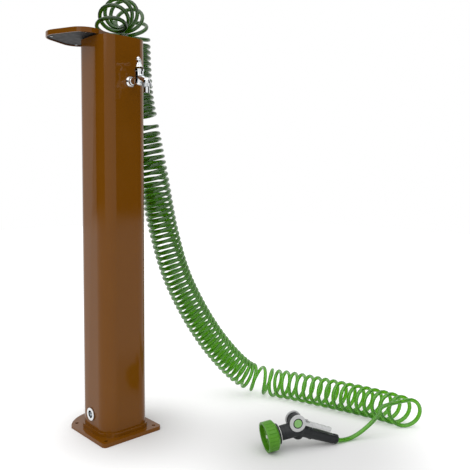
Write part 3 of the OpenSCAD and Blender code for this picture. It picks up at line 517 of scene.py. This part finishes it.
for node, solid in nodes.items():
    solid.data.materials.clear()
    solid.data.materials.append(finishes[slot_of[node]])
eased_pieces = {node: eased(node, width) for node, width in EASE.items()}
print("eased copies:", len(eased_pieces))

# %% [markdown]
# The gun's small parts that catch the eye are turned profiles: a pale trim ring behind the black collar,
# and a soft button with a shallow thumb dish. A profile of radius and height is carried round an axis and
# then put where the gun lies, pitched nose down and turned on the floor. A lathe modifier would do the
# same, but the profile is plainer to read as a list.

# %% Turned pieces of the spray gun
GUN_PLACE = np.array([266.0, -386.0, 48.097])
GUN_PITCH, GUN_YAW, GUN_BEND = math.radians(9), math.radians(153), math.radians(29)
TURNED_SMOOTH_DEG = 30


def about_y(a):
    """Turn by a about Y: x to x cos a + z sin a, and z to z cos a - x sin a."""
    return np.array([[math.cos(a), 0, math.sin(a)], [0, 1, 0], [-math.sin(a), 0, math.cos(a)]])


def about_z(a):
    """Turn by a about Z: x to x cos a - y sin a, and y to x sin a + y cos a."""
    return np.array([[math.cos(a), -math.sin(a), 0], [math.sin(a), math.cos(a), 0], [0, 0, 1]])


gun_turn = about_z(GUN_YAW) @ about_y(GUN_PITCH)


def turned(name, profile, axes, origin, columns=64):
    """A profile of (radius, height) pairs carried round: point = origin + axes (r cos a, r sin a, h), in
    the gun's own frame, and then set down where the gun lies."""
    r, h = np.asarray(profile, float).T
    a = np.linspace(0, 2 * math.pi, columns, endpoint=False)
    heights = np.repeat(h[:, None], columns, 1)
    local = np.stack([np.outer(r, np.cos(a)), np.outer(r, np.sin(a)), heights], -1)
    in_gun = local @ np.asarray(axes, float).T + origin
    return grid_piece(name, (in_gun @ gun_turn.T + GUN_PLACE) * MM, smooth_deg=TURNED_SMOOTH_DEG)


print("gun's barrel points along", np.round(gun_turn @ (1, 0, 0), 3))

# %% [markdown]
# The trim ring is a flat washer of pale plastic with an eased outer edge, a hair clear of the collar. The
# button's profile goes out along its foot, round its shoulder and in over a dish that is deepest in the
# middle, where the thumb lies.

# %% Trim ring and button
BARREL_END, BARREL_R, COLLAR_R = 50.0, 18.0, 24.0
TRIM_IN, TRIM_OUT = BARREL_R - 1.3, COLLAR_R - 0.8
TRIM_BACK, TRIM_FRONT = BARREL_END - 1.5, BARREL_END - 0.02
TRIM_BACK_IN, TRIM_EDGE_IN, TRIM_EDGE_UP = 1.0, 0.3, 0.4
HUB_PLACE, BUTTON_R, BUTTON_FOOT, BUTTON_TOP = np.array([3.0, 0.0, 19.0]), 9.7, 10.6, 17.7
SHOULDER_R, DISH_RIM, DISH_STEP, DISH_DEPTH = 2.0, 2.4, 0.2, 0.9

along_barrel = about_y(math.pi / 2)
across_hub = np.array([[1, 0, 0], [0, 0, 1], [0, -1, 0]])
trim = turned("collar_trim", [(TRIM_IN, TRIM_BACK), (TRIM_OUT - TRIM_BACK_IN, TRIM_BACK),
                              (TRIM_OUT - TRIM_EDGE_IN, TRIM_BACK + TRIM_EDGE_UP), (TRIM_OUT, TRIM_FRONT),
                              (TRIM_IN, TRIM_FRONT), (TRIM_IN, TRIM_BACK)], along_barrel, (0, 0, 0))
trim.data.materials.append(finishes["pale_plastic"])
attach(trim, body_of["gun_ring"])

edge = np.linspace(0, math.pi / 2, 6)
shoulder = np.stack([BUTTON_R - SHOULDER_R + SHOULDER_R * np.cos(edge),
                     BUTTON_TOP - SHOULDER_R + SHOULDER_R * np.sin(edge)], 1)
dish = np.linspace(0, 1, 9)
crown = np.stack([(BUTTON_R - DISH_RIM) * (1 - dish),
                  BUTTON_TOP - DISH_STEP - DISH_DEPTH * dish * (2 - dish)], 1)
button = turned("thumb_button", [(0, BUTTON_FOOT), (BUTTON_R, BUTTON_FOOT), *shoulder, *crown],
                across_hub, HUB_PLACE)
button.data.materials.append(finishes["button"])
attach(button, body_of["gun_button"])
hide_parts("gun_button")
print("trim and button faces:", len(trim.data.polygons), len(button.data.polygons))

# %% [markdown]
# Inside the gun's handle a coil spring lifts the valve stem. It can't ride on one body: its foot stays on
# the valve cap and its top follows the stem's collar. Here a copy of it is made, its length along the stem
# is measured, and the copy rides on the spring's own body.

# %% Copy of the valve spring
stem_push = next(joint for joint in behaviour["joints"] if joint["name"] == "stem_push")
coil = placed_mesh("valve_coil", nodes["valve_spring"].data.copy())
wire = np.empty((len(coil.data.vertices), 3), np.float32)
coil.data.vertices.foreach_get("co", wire.ravel())
depth = wire @ np.array(stem_push["axis"])
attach(coil, body_of["valve_spring"])
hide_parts("valve_spring")
wire[depth.argmax()].tolist()
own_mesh(coil)
print(f"valve spring: {np.ptp(depth) / MM:.1f} mm long, shortens by {stem_push['range_m'][1] / MM:.1f} mm")

# %% [markdown]
# The lever's back carries two fine grooves that run towards its tip. They are cut after its edges are
# rounded: two slim rods with pointed ends, half sunk in its crowned back, are taken out of it and then
# deleted. A bump alone would be quicker, but it has no edge in a close view and is lost in the plain mesh.

# %% Grooves in the lever's back
GROOVE_OUT, GROOVE_HALF, GROOVE_POINT, GROOVE_SIDES = 5.0, 0.55, 2.0, 16
GROOVE_TIP, GROOVE_ROOT, BACK_TOP, BACK_R = -80.0, -26.0, 23.5, 26.0
GROOVE = [(0, GROOVE_TIP), (GROOVE_HALF, GROOVE_TIP + GROOVE_POINT),
          (GROOVE_HALF, GROOVE_ROOT - GROOVE_POINT), (0, GROOVE_ROOT)]
lever = eased_pieces["gun_lever"]
handle_turn = about_y(-GUN_BEND)
surface = BACK_TOP - BACK_R + math.sqrt(BACK_R ** 2 - GROOVE_OUT ** 2)
rods = [turned(f"groove_rod_{k}", GROOVE, handle_turn @ along_barrel, handle_turn @ (0.0, y, surface),
               columns=GROOVE_SIDES) for k, y in enumerate((-GROOVE_OUT, GROOVE_OUT))]
for rod in rods:
    cut = lever.modifiers.new("groove", "BOOLEAN")
    cut.object, cut.operation, cut.solver = rod, "DIFFERENCE", "EXACT"
bpy.context.view_layer.update()
cut_lever = lever.evaluated_get(bpy.context.evaluated_depsgraph_get())
with_grooves = bpy.data.meshes.new_from_object(cut_lever)
lever.modifiers.clear()
lever.data = with_grooves
for rod in rods:
    bpy.data.objects.remove(rod)
with_grooves.set_sharp_from_angle(angle=math.radians(SHARP_DEG))
lever.modifiers.new("even shading", "WEIGHTED_NORMAL").keep_sharp = True
print("lever faces with its grooves:", len(with_grooves.polygons))

# %% [markdown]
# The lever's pale grey plastic is painted greyer along the two grooves: painted shade in them. The
# coordinates are turned into the handle's own frame, where the distance from the lines is a difference in
# one direction. Painted vertices could carry the tone too, but the mesh is too coarse for fine lines.

# %% Finish of the grooved lever
PALE_GREY, GROOVE_SHADE_GREY = linear("#BCBDBD"), linear("#868888")
grooved, tree, shader, place = new_finish("moulded_light_grey_abs_grooved", Base_Color=PALE_GREY,
                                          Roughness=0.28, IOR=1.5)
level = add_node(tree, "ShaderNodeMapping",
                 {"Vector": place.outputs["Object"], "Location": GUN_PLACE * MM,
                  "Rotation": (0.0, GUN_PITCH - GUN_BEND, GUN_YAW)}, vector_type="TEXTURE")
parts = add_node(tree, "ShaderNodeSeparateXYZ", {"Vector": level.outputs["Vector"]})
side = add_node(tree, "ShaderNodeMath", {0: parts.outputs["Y"]}, operation="ABSOLUTE")
off = add_node(tree, "ShaderNodeMath", {0: side.outputs[0], 1: GROOVE_OUT * MM}, operation="SUBTRACT")
off = add_node(tree, "ShaderNodeMath", {0: off.outputs[0]}, operation="ABSOLUTE")
rise = add_node(tree, "ShaderNodeMapRange",
                {"Value": off.outputs[0], "From Min": 0.4 * GROOVE_HALF * MM, "From Max": GROOVE_HALF * MM})
# painted shade: the grey darkens along the two grooves
ramp = add_node(tree, "ShaderNodeValToRGB", {"Fac": rise.outputs["Result"]})
ramp.color_ramp.elements[0].color = GROOVE_SHADE_GREY
ramp.color_ramp.elements[1].color = PALE_GREY
wear = add_node(tree, "ShaderNodeTexNoise",
                {"Vector": place.outputs["Object"], "Scale": per_mm(RUB_MM), "Detail": 4.0})
gloss = add_node(tree, "ShaderNodeMapRange", {"Value": wear.outputs["Fac"], "From Min": 0.3, "From Max": 0.7,
                                              "To Min": 0.34, "To Max": 0.23})
tree.links.new(ramp.outputs["Color"], shader.inputs["Base Color"])
tree.links.new(gloss.outputs["Result"], shader.inputs["Roughness"])
with_grooves.materials.clear()
with_grooves.materials.append(grooved)
print("finish:", grooved.name)

# %% [markdown]
# The hose lies free and leaves the connector's socket inside the column.

# %% [markdown]
# The picture was taken in a white studio: everything behind is white, the floor only greys softly under
# the foot and the gun. The floor is pale paper that takes the shadows. Away from those two places it
# also shines a little, for the camera and in reflections only, so that it turns white without more light
# on the object. Round the foot and the gun that shine fades out, so the grey there is the real shadow and
# a painted shadow together. A white backdrop sheet would need a bend that shows in other views.

# %% Floor
FLOOR_HALF = 6.0
FLOOR_LIFT = 0.4
FLOOR_PAINTED_SHADOWS = [((0.27, -0.42, 0.0), 0.1, 0.43), ((0.02, -0.06, 0.0), 0.04, 0.3)]
WHITE = (1, 1, 1, 1)


def seen_rays(tree):
    """1 on rays of the camera, of a reflection or through a clear piece, 0 on the rays that carry light."""
    path = add_node(tree, "ShaderNodeLightPath")
    seen = path.outputs["Is Camera Ray"]
    for kind in ("Is Glossy Ray", "Is Transmission Ray"):
        either = add_node(tree, "ShaderNodeMath", {0: seen, 1: path.outputs[kind]}, operation="MAXIMUM")
        seen = either.outputs[0]
    return seen


floor_mesh = bpy.data.meshes.new("studio_floor")
corners = [(x * FLOOR_HALF, y * FLOOR_HALF, 0) for x, y in ((-1, -1), (1, -1), (1, 1), (-1, 1))]
floor_mesh.from_pydata(corners, [], [(0, 1, 2, 3)])
floor = bpy.data.objects.new("studio_floor", floor_mesh)
bpy.context.collection.objects.link(floor)
paper, tree, shader, place = new_finish("white_paper", Base_Color=linear("#E2E2E2"), Roughness=1.0,
                                        Specular_IOR_Level=0.0)
level = add_node(tree, "ShaderNodeMath", {0: seen_rays(tree), 1: FLOOR_LIFT}, operation="MULTIPLY")
# painted shadow: the floor's shine fades out round the foot and round the gun, so it greys there
for middle, near, far in FLOOR_PAINTED_SHADOWS:
    away = add_node(tree, "ShaderNodeVectorMath", {0: place.outputs["Object"], 1: middle},
                    operation="DISTANCE")
    fade = add_node(tree, "ShaderNodeMapRange",
                    {"Value": away.outputs["Value"], "From Min": near, "From Max": far},
                    interpolation_type="SMOOTHSTEP")
    level = add_node(tree, "ShaderNodeMath", {0: level.outputs[0], 1: fade.outputs["Result"]},
                     operation="MULTIPLY")
lift = add_node(tree, "ShaderNodeEmission", {"Color": WHITE, "Strength": level.outputs[0]})
both = add_node(tree, "ShaderNodeAddShader", {0: shader.outputs[0], 1: lift.outputs[0]})
tree.links.new(both.outputs[0], tree.nodes["Material Output"].inputs["Surface"])
floor_mesh.materials.append(paper)
print("floor:", 2 * FLOOR_HALF, "m across")

# %% [markdown]
# The world is white for the camera and in reflections, and gives a lower, even light besides. A broad sun
# high on the left gives the shadows their side. Three area lamps would be the usual way, but they would
# show as bright squares in the chrome.

# %% World and sun
EVEN_LIGHT = 0.55
SUN_ENERGY, SUN_SPREAD = 1.9, math.radians(95)
SUN_TILT, SUN_TURN = math.radians(31), math.radians(-62)

world = bpy.data.worlds.new("white_studio")
scene.world = world
world.use_nodes = True
tree = world.node_tree
tree.nodes.clear()
even = add_node(tree, "ShaderNodeBackground", {"Color": WHITE, "Strength": EVEN_LIGHT})
white = add_node(tree, "ShaderNodeBackground", {"Color": WHITE, "Strength": 1.0})
mixed = add_node(tree, "ShaderNodeMixShader", {0: seen_rays(tree), 1: even.outputs[0], 2: white.outputs[0]})
add_node(tree, "ShaderNodeOutputWorld", {"Surface": mixed.outputs[0]})

sun_data = bpy.data.lights.new("broad_sun", "SUN")
sun_data.energy = SUN_ENERGY
sun_data.angle = SUN_SPREAD
sun = bpy.data.objects.new("broad_sun", sun_data)
sun.rotation_euler = (SUN_TILT, 0.0, SUN_TURN)
bpy.context.collection.objects.link(sun)
print("world and sun set, even light", EVEN_LIGHT)

# %% [markdown]
# A glossy column in an all-white room would look chalky. A studio hangs dark cloth beside the camera's
# line, so that the flat faces mirror something dark and show their own colour, while the rounded corner
# between them mirrors the white gap and carries a bright stripe. The cloths are seen in reflections only.

# %% Dark cloths for the reflections
CLOTHS = {"cloth_right": (-72.0, -20.0), "cloth_left": (122.0, 203.0)}
CLOTH_FAR, CLOTH_COLUMNS = 3.2, 12
CLOTH_LOW, CLOTH_HIGH = 0.35, 2.6
cloth = new_finish("black_studio_cloth", Base_Color=linear("#0A0A0A"), Roughness=1.0,
                   Specular_IOR_Level=0.0)[0]
for name, (start, end) in CLOTHS.items():
    a = np.radians(np.linspace(start, end, CLOTH_COLUMNS))
    foot = CLOTH_FAR * np.stack([np.cos(a), np.sin(a)], 1)
    drop = np.array([CLOTH_LOW, CLOTH_HIGH])[:, None, None]
    heights = np.broadcast_to(drop, (2, CLOTH_COLUMNS, 1))
    hung = grid_piece(name, np.concatenate([np.repeat(foot[None], 2, 0), heights], -1), around=False)
    hung.data.materials.append(cloth)
    hung.visible_camera = hung.visible_diffuse = hung.visible_shadow = hung.visible_transmission = False
print("cloths:", ", ".join(CLOTHS))
